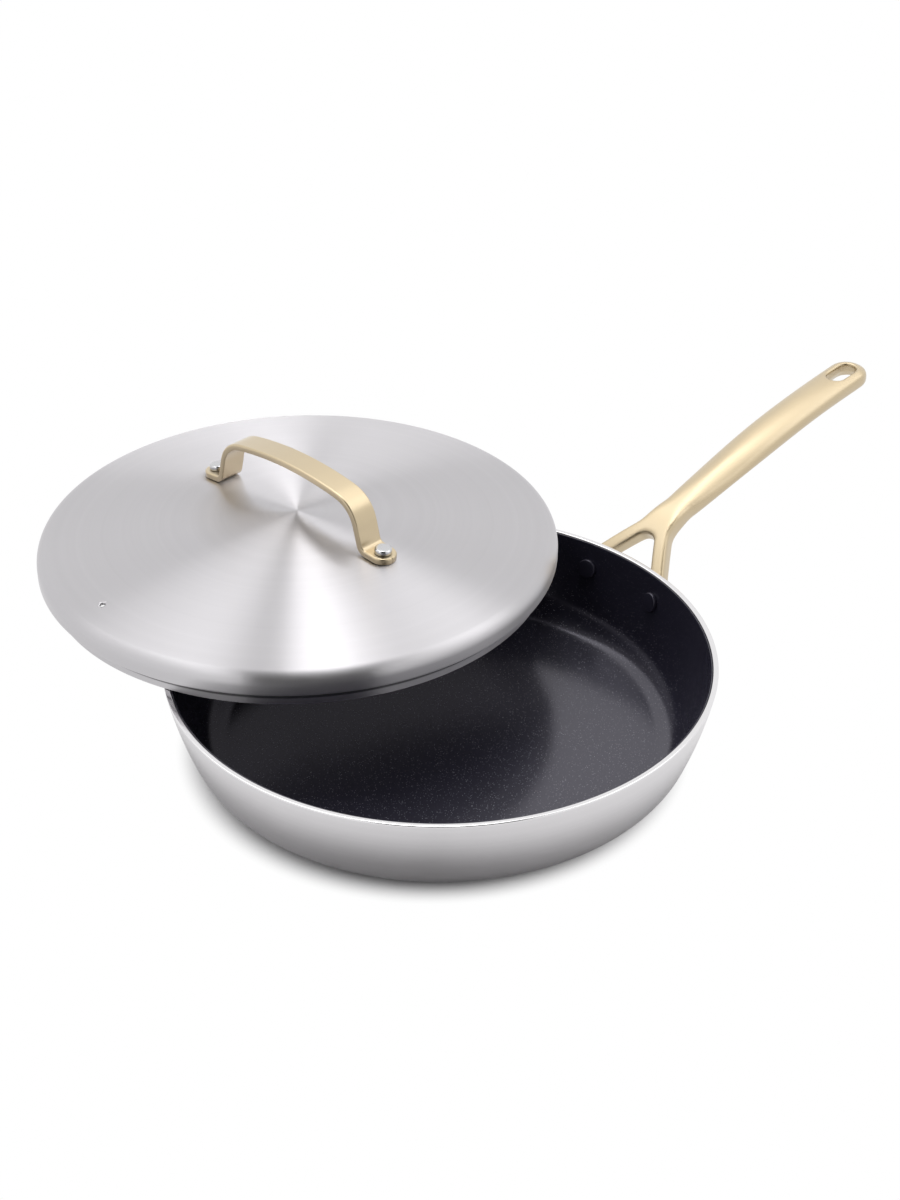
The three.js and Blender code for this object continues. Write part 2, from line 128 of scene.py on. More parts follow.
class HandleSizes(bpy.types.PropertyGroup):
    """Sizes of the forked pan handle and its rivets."""

    tip_thinning: share("Tip thinning", "Thickness lost at the very end", 0.25)
    hang_width: length("Hole width", "Across the hanging hole", 0.012)
    hang_length: length("Hole length", "Along the hanging hole", 0.022)
    hang_flare: share("Hole flare", "The hole widens by this towards the underside", 0.5)
    leg_width: length("Leg width", "Across one leg of the fork", 0.009)
    leg_thick: length("Leg thickness", "Through one leg at its foot", 0.009)
    foot_radius: length("Foot radius", "Round foot on the wall", 0.0095)
    foot_thick: length("Foot thickness", "Foot under the rivet's head", 0.0055)
    foot_lift: length("Foot lift", "The leg meets its foot this far above the rivet", 0.005)
    rivet_spacing: length("Rivet spacing", "Between the two rivets", 0.053)
    rivet_drop: length("Rivet drop", "Rivet centres below the rim", 0.017)
    fork_blend: length("Fork blend", "Softness where the legs leave the grip", 0.01)
    edge_blend: length("Edge blend", "Softness of the hanging hole's edge", 0.0022)
    shank: length("Rivet shank", "Radius of the shank", 0.003)
    head: length("Rivet head", "Radius of the head inside the pan", 0.006)
    head_rise: length("Rivet head rise", "How far that head stands out", 0.002)
    tail: length("Formed head", "Radius of the head outside", 0.0048)
    tail_rise: length("Formed head rise", "How far that head stands out", 0.0018)


class LidSizes(bpy.types.PropertyGroup):
    """Sizes and place of the lid."""

    margin: length("Margin", "The band stays this far inside the rim's edge", 0.0003)
    sheet: length("Sheet", "Thickness of the sheet", 0.0012)
    skirt_height: length("Skirt", "Height of the narrow skirt", 0.009)
    skirt_clearance: length("Skirt clearance", "Room in the pan when the lid is on", 0.0005)
    band_height: length("Band", "Height of the rounded band", 0.0135)
    band_round: length("Band rounding", "Radius of the band's top edge", 0.008)
    dome_rise: length("Dome", "Rise of the low dome", 0.0125)
    # Painted shade: a dark line is painted round the skirt, where the band above shades it; its height,
    # and how far off it is fully dark and gone
    painted_shade_height: length("Painted shade height", "Dark line round the skirt, under the band", 0.0049)
    painted_shade_dark: length("Painted shade dark", "The line is fully dark up to this far off", 0.0005)
    painted_shade_clear: length("Painted shade clear", "The line is gone this far off", 0.0014)
    vent_radius: length("Vent", "Radius of the steam hole", 0.0016)
    vent_inset: length("Vent inset", "From the lid's edge to the hole's middle", 0.0187)
    vent_turn: turn("Vent turn", "From square to the strap", 6)
    back: length("Drawn back", "How far the lid is drawn back", 0.1282)
    aside: length("Aside", "How far the lid lies to the side", 0.003)
    turned: turn("Turned", "How far the lid is turned", 3.8)


class StrapSizes(bpy.types.PropertyGroup):
    """Sizes of the lid's strap handle and its rivets."""

    width: length("Width", "Across the strap", 0.016)
    thick: length("Thickness", "Through the strap", 0.0038)
    top_edge: length("Top edge", "Rounding of the upper edges", 0.0011)
    low_edge: length("Lower edge", "Rounding of the lower edges", 0.0005)
    crown: length("Crown", "The top sinks this much from the middle to the bends", 0.0065)
    finger_gap: length("Finger gap", "From the dome's top to the strap", 0.031)
    bend_reach: length("Bend reach", "Corner between the top and a leg", 0.054)
    bend_round: length("Bend", "Length of the upper bend", 0.013)
    leg_reach: length("Leg reach", "Corner between a leg and its foot", 0.0605)
    leg_round: length("Foot bend", "Length of the lower bend", 0.004)
    foot_reach: length("Foot reach", "From that corner to the rivet", 0.0105)
    button: length("Button", "Radius of the button head", 0.005)
    button_rise: length("Button rise", "Height of the button head", 0.003)
    button_chamfer: length("Button chamfer", "Turned edge of the button", 0.0008)
    shank: length("Shank", "Radius of the shank", 0.0025)
    inner_head: length("Inner head", "Radius of the flat head under the lid", 0.006)
    inner_rise: length("Inner head rise", "Thickness of that head", 0.0012)


class Finishes(bpy.types.PropertyGroup):
    """Colours of the metals and the lining."""

    lid_steel: colour("Lid steel", "Spun steel of the lid", (0.6, 0.587, 0.605))
    pan_steel: colour("Pan metal", "Turned metal of the pan's outside", (0.72, 0.705, 0.72))
    rim_steel: colour("Rim", "Bright cut rim", (0.8, 0.79, 0.8))
    plate_steel: colour("Base plate", "Turned steel under the pan", (0.5, 0.49, 0.5))
    rivet_steel: colour("Rivet steel", "Polished button heads", (0.6, 0.6, 0.61))
    champagne: colour("Champagne", "Satin coat of both handles", (0.555, 0.438, 0.255))
    lining: colour("Lining", "Dark ceramic lining", (0.021, 0.0195, 0.036))
    speck: colour("Specks", "Pale specks in the lining", (0.5, 0.5, 0.57))


class StageSettings(bpy.types.PropertyGroup):
    """Camera, lamps and floor."""

    distance: length("Distance", "Camera to the middle of the rim", 1.1)
    elevation: turn("Elevation", "Height of the camera over the rim", 33.839)
    pan_right: turn("Pan right", "Aim of the camera to the right of the rim's middle", 0.315)
    tilt_up: turn("Tilt up", "Aim of the camera above the rim's middle", 1.518)
    handle_turn: turn("Handle turn", "From the picture's right to the handle", 42)
    focal: bpy.props.FloatProperty(
        name="Focal length", description="On a 36 mm long side", default=59.6, unit="CAMERA"
    )
    floor_colour: colour("Floor", "Plain pale floor", (0.95, 0.95, 0.95))
    floor_near: length("Floor near", "The floor is plainly lit this far out", 0.127)
    floor_far: length("Floor far", "Past this it is the white of the room", 0.1465)
    mirror_near: length("Mirrored near", "The same for the floor that metal mirrors", 0.15)
    mirror_far: length("Mirrored far", "The same for the floor that metal mirrors", 0.188)
    shade_aside: length("Shade aside", "The floor's shade lies this far to the left", 0.0042)
    side_clear: share("Side clearing", "How much sooner the mirrored floor clears at the sides", 0.06)
    room_light: bpy.props.FloatProperty(
        name="Room light", description="Even light from all around", default=0.3, min=0
    )


class FryingPanSettings(bpy.types.PropertyGroup):
    """Everything that can be changed."""

    pan: bpy.props.PointerProperty(type=PanSizes)
    handle: bpy.props.PointerProperty(type=HandleSizes)
    lid: bpy.props.PointerProperty(type=LidSizes)
    strap: bpy.props.PointerProperty(type=StrapSizes)
    finishes: bpy.props.PointerProperty(type=Finishes)
    stage: bpy.props.PointerProperty(type=StageSettings)


def settings():
    """The scene's settings."""
    return bpy.context.scene.frying_pan


# Meshes


def arc(centre, radius, start, end, steps):
    """Points of an arc in a section, angles counted from level, both ends included."""
    return [
        (centre[0] + radius * math.cos(angle), centre[1] + radius * math.sin(angle))
        for angle in np.linspace(start, end, steps + 1)
    ]


def bend(before, corner, after, distance, steps):
    """Points of a soft bend that starts and ends at a distance from its corner."""
    start = corner + (before - corner).normalized() * distance
    end = corner + (after - corner).normalized() * distance
    return [
        start * (1 - t) ** 2 + corner * 2 * t * (1 - t) + end * t**2
        for t in np.linspace(0, 1, steps + 1)
    ]


def eased(section, steps=6):
    """Radii and heights of a section; a point's third number softens it over that distance."""
    out = []
    for k, (radius, height, *soft) in enumerate(section):
        if not soft:
            out.append((radius, height))
            continue
        before, corner, after = (Vector(section[i][:2]) for i in (k - 1, k, k + 1))
        out += [tuple(point) for point in bend(before, corner, after, soft[0], steps)]
    return out


def turned(section, sides):
    """Points and faces of a section turned about Z; a point on the axis is one vertex."""
    points, rings = [], []
    for radius, height in section:
        count = 1 if radius < 1e-7 else sides
        rings.append([len(points) + k for k in range(count)])
        for k in range(count):
            angle = 2 * math.pi * k / count
            points.append((radius * math.cos(angle), radius * math.sin(angle), height))
    faces = []
    for ring, after in zip(rings, rings[1:]):
        for k in range(sides):
            corners = [
                ring[k % len(ring)],
                ring[(k + 1) % len(ring)],
                after[(k + 1) % len(after)],
                after[k % len(after)],
            ]
            faces.append(list(dict.fromkeys(corners)))
    return points, [face for face in faces if len(face) > 2]


def lofted(rings):
    """Points and faces over rings of equally many points, capped at both ends."""
    count = len(rings[0])
    points = [tuple(point) for ring in rings for point in ring]
    faces = []
    for start in range(0, len(points) - count, count):
        for k in range(count):
            after = (k + 1) % count
            faces.append((start + k, start + after, start + after + count, start + k + count))
    faces.append(tuple(range(count))[::-1])
    faces.append(tuple(range(len(points) - count, len(points))))
    return points, faces


def skin_of(field, low, high, step):
    """Points and quads where a distance field crosses zero, drawn even over the surface."""
    axes = [np.arange(a, b + step, step) for a, b in zip(low, high)]
    grid = np.stack(np.meshgrid(*axes, indexing="ij"), axis=-1)
    inside = (field(grid.reshape(-1, 3)) < 0).reshape(grid.shape[:3])
    size = np.array(inside.shape) - 1
    filled = np.zeros(size, int)
    for i, j, k in np.ndindex(2, 2, 2):
        filled += inside[i : i + size[0], j : j + size[1], k : k + size[2]]
    crossed = (filled > 0) & (filled < 8)
    number = np.full(size, -1)
    number[crossed] = np.arange(crossed.sum())
    points = np.array(low) + (np.argwhere(crossed) + 0.5) * step
    quads = []
    for axis in range(3):
        one, two = (axis + 1) % 3, (axis + 2) % 3
        change = np.diff(inside.astype(np.int8), axis=axis)
        edges = np.argwhere(change)
        corners = []
        for a, b in ((-1, -1), (0, -1), (0, 0), (-1, 0)):
            cell = edges.copy()
            cell[:, one] += a
            cell[:, two] += b
            corners.append(number[tuple(cell.T)])
        quad = np.stack(corners, axis=1)
        leaving = change[tuple(edges.T)] < 0
        quad[leaving] = quad[leaving][:, ::-1]
        quads.append(quad)
    quads = np.concatenate(quads)
    points = drawn_to(field, points, step)
    for _ in range(EVENING_ROUNDS):
        total = np.zeros_like(points)
        times = np.zeros(len(points))
        for k in range(4):
            for other in (k - 1, (k + 1) % 4):
                np.add.at(total, quads[:, k], points[quads[:, other]])
                np.add.at(times, quads[:, k], 1)
        points = drawn_to(field, 0.5 * points + 0.5 * total / times[:, None], step)
    return points.tolist(), quads.tolist()


def slope_of(field, points, reach):
    """How a distance field rises at points."""
    rises = [field(points + axis * reach) - field(points - axis * reach) for axis in np.eye(3)]
    return np.stack(rises, axis=1) / (2 * reach)


def drawn_to(field, points, step):
    """Points moved onto the surface of a distance field, by a step at most each time."""
    for _ in range(DRAWING_ROUNDS):
        value, slope = field(points), slope_of(field, points, step * SLOPE_SHARE)
        steepness = np.maximum((slope**2).sum(1), LEAST_STEEP)
        move = slope * (value / steepness)[:, None]
        far = np.linalg.norm(move, axis=1)
        move *= np.minimum(1, step / np.maximum(far, 1e-9))[:, None]
        points = points - move
    return points


def new_mesh(name, points, faces):
    """A mesh of points and faces."""
    mesh = bpy.data.meshes.new(name)
    mesh.from_pydata(points, [], faces)
    return mesh


def in_scene(name, data):
    """A new object in the scene for a mesh, a lamp or a camera."""
    thing = bpy.data.objects.new(name, data)
    bpy.context.scene.collection.objects.link(thing)
    return thing


def add_piece(name, node, shape, finish_names, place=None):
    """Adds a piece that stands for a node and moves with its body."""
    mesh = new_mesh(name, *shape)
    work = bmesh.new()
    work.from_mesh(mesh)
    bmesh.ops.recalc_face_normals(work, faces=work.faces)
    work.to_mesh(mesh)
    work.free()
    mesh.shade_smooth()
    mesh.set_sharp_from_angle(angle=SOFT_ANGLE)
    for finish in finish_names:
        mesh.materials.append(finishes()[finish])
    piece = in_scene(name, mesh)
    if place is not None:
        piece.matrix_world = place
    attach(piece, BODY_OF[node])
    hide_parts(node)
    return piece


def finish_faces(piece, number, test):
    """Gives a piece's faces another of its finishes where a test of the middle holds."""
    for face in piece.data.polygons:
        if test(face.center):
            face.material_index = number


def bored(piece, centre, radius, depth):
    """Cuts an upright round hole through a piece."""
    bar = turned([(0, -depth), (radius, -depth), (radius, depth), (0, depth)], DRILL_SIDES)
    mesh = new_mesh("drill", *bar)
    drill = in_scene("drill", mesh)
    drill.matrix_world = piece.matrix_world @ Matrix.Translation(centre)
    cut = piece.modifiers.new("hole", "BOOLEAN")
    cut.operation = "DIFFERENCE"
    cut.solver = "EXACT"
    cut.object = drill
    bpy.context.view_layer.update()
    ready = piece.evaluated_get(bpy.context.evaluated_depsgraph_get())
    whole = bpy.data.meshes.new_from_object(ready)
    piece.modifiers.remove(cut)
    old = piece.data
    piece.data = whole
    whole.name = piece.name
    bpy.data.meshes.remove(old)
    bpy.data.objects.remove(drill)
    bpy.data.meshes.remove(mesh)


# Shared sections


class Wall:
    """The pan's wall: a long arc above a tighter turn into the base."""

    def __init__(self, sizes):
        self.arc = sizes.wall_arc
        self.turn = sizes.base_turn
        self.centre = Vector(
            (
                sizes.rim_radius - self.arc * math.cos(sizes.flare),
                sizes.height + self.arc * math.sin(sizes.flare),
            )
        )
        run = self.arc - self.turn
        self.joint = math.asin((self.centre.y - sizes.plate_proud - self.turn) / run)
        self.low = self.centre + Vector((math.cos(self.joint), -math.sin(self.joint))) * run

    def angle(self, height, inset=0.0):
        """The wall's angle below level at a height above the turn."""
        return math.asin((self.centre.y - height) / (self.arc - inset))

    def section(self, inset, top):
        """The section from a height down to the floor, a distance inside the outer surface."""
        start = -self.angle(top, inset)
        upper = arc(self.centre, self.arc - inset, start, -self.joint, WALL_STEPS)
        lower = arc(self.low, self.turn - inset, -self.joint, -math.pi / 2, WALL_STEPS)
        return upper[:-1] + lower

    def point(self, height):
        """Radius and height of the outer surface."""
        angle = self.angle(height)
        return self.centre.x + self.arc * math.cos(angle), height


def rivet_place(side):
    """The place of a pan rivet on the outer wall, its own Z pointing out of the pan."""
    pan, handle = settings().pan, settings().handle
    wall = Wall(pan)
    radius, height = wall.point(pan.height - handle.rivet_drop)
    round_turn = Matrix.Rotation(side * math.asin(handle.rivet_spacing / 2 / radius), 4, "Z")
    lean = Matrix.Rotation(math.pi / 2 + wall.angle(height), 4, "Y")
    return round_turn @ Matrix.Translation((radius, 0, height)) @ lean


class LidForm:
    """The lid's own section, measured up from the bottom of its skirt."""

    def __init__(self):
        pan, lid, strap = settings().pan, settings().lid, settings().strap
        wall = Wall(pan)
        inset = pan.wall + pan.gap + pan.coating
        angle = wall.angle(pan.height - lid.skirt_height, inset)
        self.skirt = wall.centre.x + (wall.arc - inset) * math.cos(angle) - lid.skirt_clearance
        self.radius = pan.rim_radius - lid.margin
        self.band_top = lid.skirt_height + lid.band_height
        self.top = self.band_top + lid.dome_rise
        self.round_centre = (self.radius - lid.band_round, self.band_top - lid.band_round)
        depth = self.top - self.round_centre[1]
        across = self.round_centre[0]
        self.dome = (across**2 + depth**2 - lid.band_round**2) / (2 * lid.dome_rise)
        self.angle = math.atan2(across, self.dome - depth)
        self.rivet_reach = strap.leg_reach + strap.foot_reach
        self.lean = math.asin(self.rivet_reach / self.dome)
        self.rivet_height = self.height(self.rivet_reach)
        turned_by = Matrix.Rotation(lid.turned, 4, "Z")
        rest = (lid.aside, lid.back, pan.height + pan.gap)
        self.place = Matrix.Translation(rest) @ turned_by

    def height(self, reach):
        """Height of the dome at a distance from the middle."""
        return self.top - self.dome + math.sqrt(self.dome**2 - reach**2)

    def over(self, inset):
        """The dome and the rounded band from the middle out, a distance inside the surface."""
        lid = settings().lid
        centre = (0, self.top - self.dome)
        joint = math.pi / 2 - self.angle
        dome = arc(centre, self.dome - inset, math.pi / 2, joint, DOME_STEPS)
        band = arc(self.round_centre, lid.band_round - inset, joint, 0, BAND_STEPS)
        return [(max(r, 0), h) for r, h in dome[:-1]] + band

    def is_inside(self, point):
        """Whether a point of the lid is on the side that faces the food."""
        lid, reach = settings().lid, math.hypot(point.x, point.y)
        if point.z < lid.skirt_height + lid.sheet / 2:
            return reach < self.skirt - lid.sheet / 2
        if reach < self.round_centre[0]:
            return math.hypot(reach, point.z - self.top + self.dome) < self.dome - lid.sheet / 2
        round_reach = reach - self.round_centre[0]
        rise = max(point.z - self.round_centre[1], 0)
        return math.hypot(round_reach, rise) < lid.band_round - lid.sheet / 2

    def rivet(self, side):
        """The place of a strap rivet on the dome, its own Z square to the dome."""
        at = Matrix.Translation((0, side * self.rivet_reach, self.rivet_height))
        return self.place @ at @ Matrix.Rotation(-side * self.lean, 4, "X")


# Finishes


GRAIN_HEIGHT = 0.0002  # of the metals' lines and grain
SPECK_HEIGHT = 0.0003  # of the lining's specks and ripple
# Painted light: the specks are painted fainter up the wall, where less light from above catches them
SPECK_LIGHT_FADE = (0.012, 0.035)  # heights between which the specks grow faint


class Nodes:
    """A short way to place and join shader nodes."""

    def __init__(self, tree):
        self.tree = tree

    def add(self, kind, inputs=None, **values):
        """Places a node, sets its own values and fills its inputs."""
        node = self.tree.nodes.new(kind)
        for name, value in values.items():
            setattr(node, name, value)
        self.fill(node, inputs or {})
        return node

    def fill(self, node, inputs):
        """Gives inputs, by label or number, a link or a constant."""
        for label, value in inputs.items():
            if isinstance(value, bpy.types.NodeSocket):
                self.tree.links.new(value, node.inputs[label])
            else:
                node.inputs[label].default_value = value

    def math(self, operation, *values):
        """A math node on links or numbers."""
        return self.add("ShaderNodeMath", dict(enumerate(values)), operation=operation).outputs[0]

    def vector(self, operation, *values):
        """The outputs of a vector math node on links or vectors."""
        return self.add("ShaderNodeVectorMath", dict(enumerate(values)), operation=operation).outputs

    def place(self):
        """The place in the piece's own space."""
        return self.add("ShaderNodeTexCoord").outputs["Object"]

    def axes(self):
        """X, Y and Z of that place."""
        return self.add("ShaderNodeSeparateXYZ", {0: self.place()}).outputs

    def ramp(self, value, before, after):
        """A value eased from one pair of ends to another."""
        labels = ("Value", "From Min", "From Max", "To Min", "To Max")
        ends = dict(zip(labels, (value, *before, *after)))
        return self.add("ShaderNodeMapRange", ends, interpolation_type="SMOOTHSTEP").outputs["Result"]

    def between(self, value, low, high):
        """A link from 0 to 1 spread over another range."""
        ends = {"Value": value, "To Min": low, "To Max": high}
        return self.add("ShaderNodeMapRange", ends).outputs["Result"]

    def shared(self, first, second, part):
        """A part of the first value and the rest of the second."""
        return self.math("MULTIPLY_ADD", first, part, self.math("MULTIPLY", second, 1 - part))

    def mix(self, amount, first, second):
        """A colour between two, by a link."""
        colours = {"Factor": amount, 6: first, 7: second}
        return self.add("ShaderNodeMix", colours, data_type="RGBA").outputs[2]

    def raised(self, height, strength, distance):
        """The normal of a surface raised by a height."""
        values = {"Height": height, "Strength": strength, "Distance": distance}
        return self.add("ShaderNodeBump", values).outputs["Normal"]

    def group(self, name, **values):
        """The outputs of a shared group with its own values."""
        inputs = {key.replace("_", " ").capitalize(): value for key, value in values.items()}
        return self.add("ShaderNodeGroup", inputs, node_tree=bpy.data.node_groups[name]).outputs


def new_group(name, inputs, outputs):
    """A shader group with number inputs and outputs: its node maker, given values and end."""
    tree = bpy.data.node_groups.new(name, "ShaderNodeTree")
    for label, default in inputs.items():
        socket = tree.interface.new_socket(label, in_out="INPUT", socket_type="NodeSocketFloat")
        socket.default_value = default
    for label in outputs:
        tree.interface.new_socket(label, in_out="OUTPUT", socket_type="NodeSocketFloat")
    nodes = Nodes(tree)
    return nodes, nodes.add("NodeGroupInput").outputs, nodes.add("NodeGroupOutput")


def turned_lines_group():
    """Fine rings about a piece's own axis, as a lathe or a spinning brush leaves them."""
    inputs = {"Rings": 900.0, "Coarse rings": 160.0}
    nodes, given, made = new_group("Turned lines", inputs, ["Fine", "Coarse"])
    x, y, z = nodes.axes()
    square = nodes.math("ADD", nodes.math("MULTIPLY", x, x), nodes.math("MULTIPLY", y, y))
    along = nodes.math("ADD", nodes.math("SQRT", square), z)
    for label, output in (("Rings", "Fine"), ("Coarse rings", "Coarse")):
        counted = nodes.math("MULTIPLY", along, given[label])
        values = {"W": counted, "Scale": 1, "Detail": 4, "Roughness": 0.7}
        noise = nodes.add("ShaderNodeTexNoise", values, noise_dimensions="1D")
        nodes.fill(made, {output: noise.outputs["Fac"]})


def handling_group():
    """Soft uneven patches and fine grain that handling and polishing leave."""
    inputs = {"Patches": 18.0, "Grain": 2500.0}
    nodes, given, made = new_group("Handling", inputs, ["Patch", "Fine grain"])
    place = nodes.place()
    for label, output, detail in (("Patches", "Patch", 3), ("Grain", "Fine grain", 2)):
        values = {"Vector": place, "Scale": given[label], "Detail": detail}
        nodes.fill(made, {output: nodes.add("ShaderNodeTexNoise", values).outputs["Fac"]})


def specks_group():
    """Small pale specks scattered in a dark coat."""
    inputs = {"Scale": 1400.0, "Size": 0.28, "Share": 0.3}
    nodes, given, made = new_group("Specks", inputs, ["Mask"])
    values = {"Vector": nodes.place(), "Scale": given["Scale"]}
    cells = nodes.add("ShaderNodeTexVoronoi", values).outputs
    near = nodes.math("LESS_THAN", cells["Distance"], given["Size"])
    lot = nodes.add("ShaderNodeSeparateColor", {0: cells["Color"]}).outputs
    chosen = nodes.math("LESS_THAN", lot[0], given["Share"])
    strength = nodes.math("MULTIPLY", nodes.math("MULTIPLY", near, chosen), lot[1])
    nodes.fill(made, {"Mask": strength})


def new_finish(name):
    """A new material's node maker and its Principled shader."""
    finish = bpy.data.materials.new(name)
    finish.use_nodes = True
    return Nodes(finish.node_tree), finish.node_tree.nodes["Principled BSDF"]


def scaled(tint, amount=1):
    """A colour made lighter or darker, with its alpha."""
    return (*(min(1, channel * amount) for channel in tint[:3]), 1)


def spun_steel(
    name, metal, roughness, stretch=0.0, rings=900.0, coarse=160.0, depth=0.05, painted_shade_line=None
):
    """Steel with fine rings, whose gleam can stretch square to them, and a line of painted shade
    if asked for: its height, and how far off it is fully dark and gone."""
    nodes, shader = new_finish(name)
    lines = nodes.group("Turned lines", rings=rings, coarse_rings=coarse)
    patch = nodes.group("Handling", patches=22.0)["Patch"]
    tone = nodes.shared(lines["Coarse"], patch, 0.5)
    ground = nodes.mix(tone, scaled(metal, 0.93), scaled(metal, 1.06))
    # Painted shade: a dark line in the colour, standing in for the shade that the band above casts on
    # the skirt
    if painted_shade_line:
        height, dark, clear = painted_shade_line
        off = nodes.math("ABSOLUTE", nodes.math("SUBTRACT", nodes.axes()["Z"], height))
        ground = nodes.mix(nodes.ramp(off, (dark, clear), (1, 0)), ground, scaled(metal, 0.3))
    worn = nodes.shared(lines["Fine"], patch, 0.6)
    values = {
        "Base Color": ground,
        "Roughness": nodes.between(worn, roughness * 0.85, roughness * 1.15),
        "Metallic": 1,
        "Normal": nodes.raised(lines["Fine"], depth, GRAIN_HEIGHT),
    }
    nodes.fill(shader, values)
    if stretch:
        tangent = nodes.add("ShaderNodeTangent", direction_type="RADIAL", axis="Z").outputs[0]
        values = {"Anisotropic": stretch, "Anisotropic Rotation": 0.25, "Tangent": tangent}
        nodes.fill(shader, values)


def champagne_coat(name, metal, roughness, over):
    """Satin champagne metal with a fine even grain, under a clear coat of its own roughness."""
    nodes, shader = new_finish(name)
    handling = nodes.group("Handling", patches=26.0, grain=2200.0)
    tone = nodes.shared(handling["Fine grain"], handling["Patch"], 0.4)
    values = {
        "Base Color": nodes.mix(tone, scaled(metal, 0.92), scaled(metal, 1.07)),
        "Roughness": nodes.between(tone, roughness * 0.88, roughness * 1.12),
        "Metallic": 1,
        "Coat Weight": 0.9,
        "Coat Roughness": over,
        "Coat IOR": 2,
        "Normal": nodes.raised(handling["Fine grain"], 0.06, GRAIN_HEIGHT),
    }
    nodes.fill(shader, values)


def dark_lining(name, coat, speck):
    """Dark semi-gloss ceramic with a faint ripple and pale specks, which are painted fainter up the
    wall, where less light catches them.
    """
    nodes, shader = new_finish(name)
    handling = nodes.group("Handling", patches=14.0, grain=1400.0)
    specks = nodes.group("Specks")["Mask"]
    ground = nodes.mix(handling["Patch"], scaled(coat, 0.8), scaled(coat, 1.25))
    # Painted light: the specks grow faint up the wall, where less light from above catches them
    painted_speck_light = nodes.ramp(nodes.axes()["Z"], SPECK_LIGHT_FADE, (1, 0.25))
    height = nodes.math("MULTIPLY_ADD", specks, 0.6, handling["Fine grain"])
    values = {
        "Base Color": nodes.mix(nodes.math("MULTIPLY", specks, painted_speck_light), ground, scaled(speck)),
        "Roughness": nodes.between(handling["Patch"], 0.11, 0.15),
        "IOR": 1.62,
        "Specular Tint": (0.88, 0.85, 1, 1),
        "Coat Weight": 0.5,
        "Coat Roughness": 0.5,
        "Normal": nodes.raised(height, 0.12, SPECK_HEIGHT),
    }
    nodes.fill(shader, values)


def finishes():
    """All finishes by name, made on first use."""
    if "Spun lid steel" not in bpy.data.materials:
        turned_lines_group()
        handling_group()
        specks_group()
        tone, lid = settings().finishes, settings().lid
        # The lid steel gets a line of painted shade round the skirt, under its band
        painted_shade_line = (lid.painted_shade_height, lid.painted_shade_dark, lid.painted_shade_clear)
        # Painted shade: the lid's inside is the same steel painted darker, for the shade under the lid
        painted_shade_steel = scaled(tone.lid_steel, 0.45)
        spun_steel("Spun lid steel", tone.lid_steel, roughness=0.36, stretch=1.0, painted_shade_line=painted_shade_line)
        spun_steel("Lid inside painted shade", painted_shade_steel, roughness=0.3, stretch=0.6)
        spun_steel(
            "Turned pan metal", tone.pan_steel, roughness=0.3, stretch=0.6, rings=1100.0, coarse=260.0
        )
        spun_steel("Bright rim", tone.rim_steel, roughness=0.16, depth=0.02)
        spun_steel(
            "Turned base plate", tone.plate_steel, roughness=0.35, stretch=0.6, rings=1400.0, depth=0.15
        )
        spun_steel("Polished rivet", tone.rivet_steel, roughness=0.2, rings=2400.0, coarse=900.0)
        champagne_coat("Champagne handle", tone.champagne, roughness=0.44, over=0.3)
        champagne_coat("Champagne strap", tone.champagne, roughness=0.33, over=0.28)
        dark_lining("Dark ceramic", tone.lining, tone.speck)
        dark_lining("Coated rivet head", tone.lining, tone.lining)
    return bpy.data.materials


# Pieces


class PAN_OT_body(bpy.types.Operator):
    """Turned pan with a flared wall, a bright rim and a recess for the base plate"""

    bl_idname = "frying_pan.body"
    bl_label = "Pan Body"

    recess_soft = 0.0003  # softness of the edge round the base plate
    bright_reach = 1.2  # the bright cut goes this many rim roundings down

    def execute(self, context):
        pan = settings().pan
        wall = Wall(pan)
        recess = pan.plate_thickness + pan.gap
        edge = wall.low.x - pan.plate_margin + pan.gap
        outside = wall.section(0, pan.height)[::-1]
        inside = wall.section(pan.wall, pan.height)
        outside[-1] += (pan.rim_round,)
        inside[0] += (pan.rim_round,)
        section = [(0, recess), (edge, recess), (edge, pan.plate_proud, self.recess_soft)]
        section += outside + inside + [(0, pan.plate_proud + pan.wall)]
        shape = turned(eased(section), FINE_SIDES)
        piece = add_piece("pan_shell", "pan_body", shape, ["Turned pan metal", "Bright rim"])
        bright = pan.height - pan.rim_round * self.bright_reach
        finish_faces(piece, 1, lambda middle: middle.z > bright)
        return {"FINISHED"}


class PAN_OT_lining(bpy.types.Operator):
    """Dark lining inside the pan, from just below the rim"""

    bl_idname = "frying_pan.lining"
    bl_label = "Lining"

    def execute(self, context):
        pan = settings().pan
        wall = Wall(pan)
        under = pan.wall + pan.gap
        top = pan.height - pan.coating_drop
        floor = pan.plate_proud + under
        section = [(0, floor)] + wall.section(under, top)[::-1]
        section += wall.section(under + pan.coating, top) + [(0, floor + pan.coating)]
        shape = turned(section, FINE_SIDES)
        add_piece("dark_lining", "interior_coating", shape, ["Dark ceramic"])
        return {"FINISHED"}


class PAN_OT_base_plate(bpy.types.Operator):
    """Steel plate under the pan, with turned rings"""

    bl_idname = "frying_pan.base_plate"
    bl_label = "Base Plate"

    rings = 11  # spaces between the turned grooves, from the middle to the edge
    groove_half = 0.0006  # half of a groove's width
    groove_depth = 0.00018  # depth of a groove
    low_soft = 0.0003  # softness of the plate's edge that shows
    top_soft = 0.0002  # softness of its edge in the recess

    def execute(self, context):
        pan = settings().pan
        radius = Wall(pan).low.x - pan.plate_margin
        groove = ((-self.groove_half, 0), (0, self.groove_depth), (self.groove_half, 0))
        section = [(0, 0)]
        for k in range(1, self.rings):
            middle = radius * k / self.rings
            section += [(middle + out, height) for out, height in groove]
        top = pan.plate_thickness
        section += [(radius, 0, self.low_soft), (radius, top, self.top_soft), (0, top)]
        shape = turned(eased(section, steps=3), FINE_SIDES)
        add_piece("turned_base_plate", "base_plate", shape, ["Turned base plate"])
        return {"FINISHED"}


